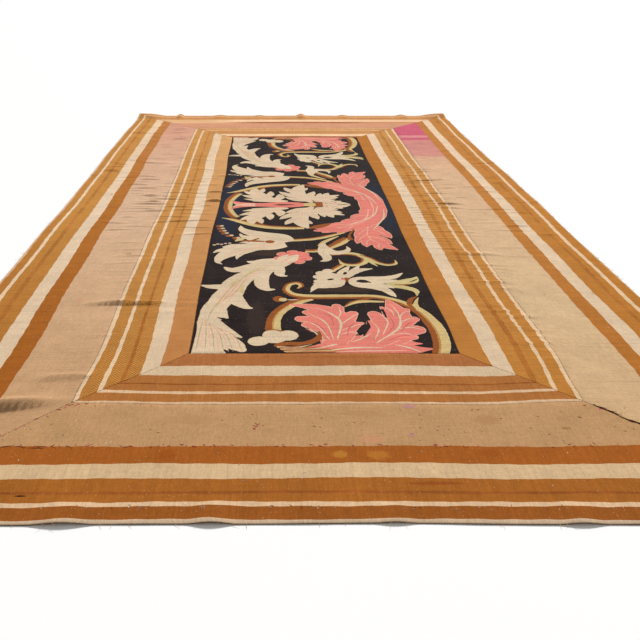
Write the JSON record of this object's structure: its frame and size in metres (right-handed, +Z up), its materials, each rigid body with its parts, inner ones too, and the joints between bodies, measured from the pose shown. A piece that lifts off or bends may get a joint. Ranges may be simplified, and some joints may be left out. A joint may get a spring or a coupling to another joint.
{
  "type": "aubusson rug",
  "caption": "Long flat-woven wool rug with a dark scroll-and-leaf centre panel, framed by striped border strips sewn at slanted corners, lying on a floor.",
  "frame": {"origin": "middle of the rug's length and width, on the plane of its underside", "axes": "+Y along the rug towards the end with the pink patch, +X across it to the right, +Z up out of the pattern side"},
  "size_m": [3.1998, 6.306, 0.027],
  "materials": {
    "panel_wool": "matt tapestry weave, charcoal ground with cream, pink, olive and brown scrolls",
    "inner_border_wool": "matt ribbed weave and herringbone, ochre with cream stripes",
    "outer_border_wool": "matt ribbed weave, beige, brown, cream and ochre stripes"
  },
  "bodies": {
    "root": {"centre_panel": "panel_wool", "inner_strip_near": "inner_border_wool", "inner_strip_far": "inner_border_wool", "inner_strip_left": "inner_border_wool", "inner_strip_right": "inner_border_wool", "outer_strip_near": "outer_border_wool", "outer_strip_far": "outer_border_wool", "outer_strip_left": "outer_border_wool", "outer_strip_right": "outer_border_wool"}
  },
  "joints": []
}
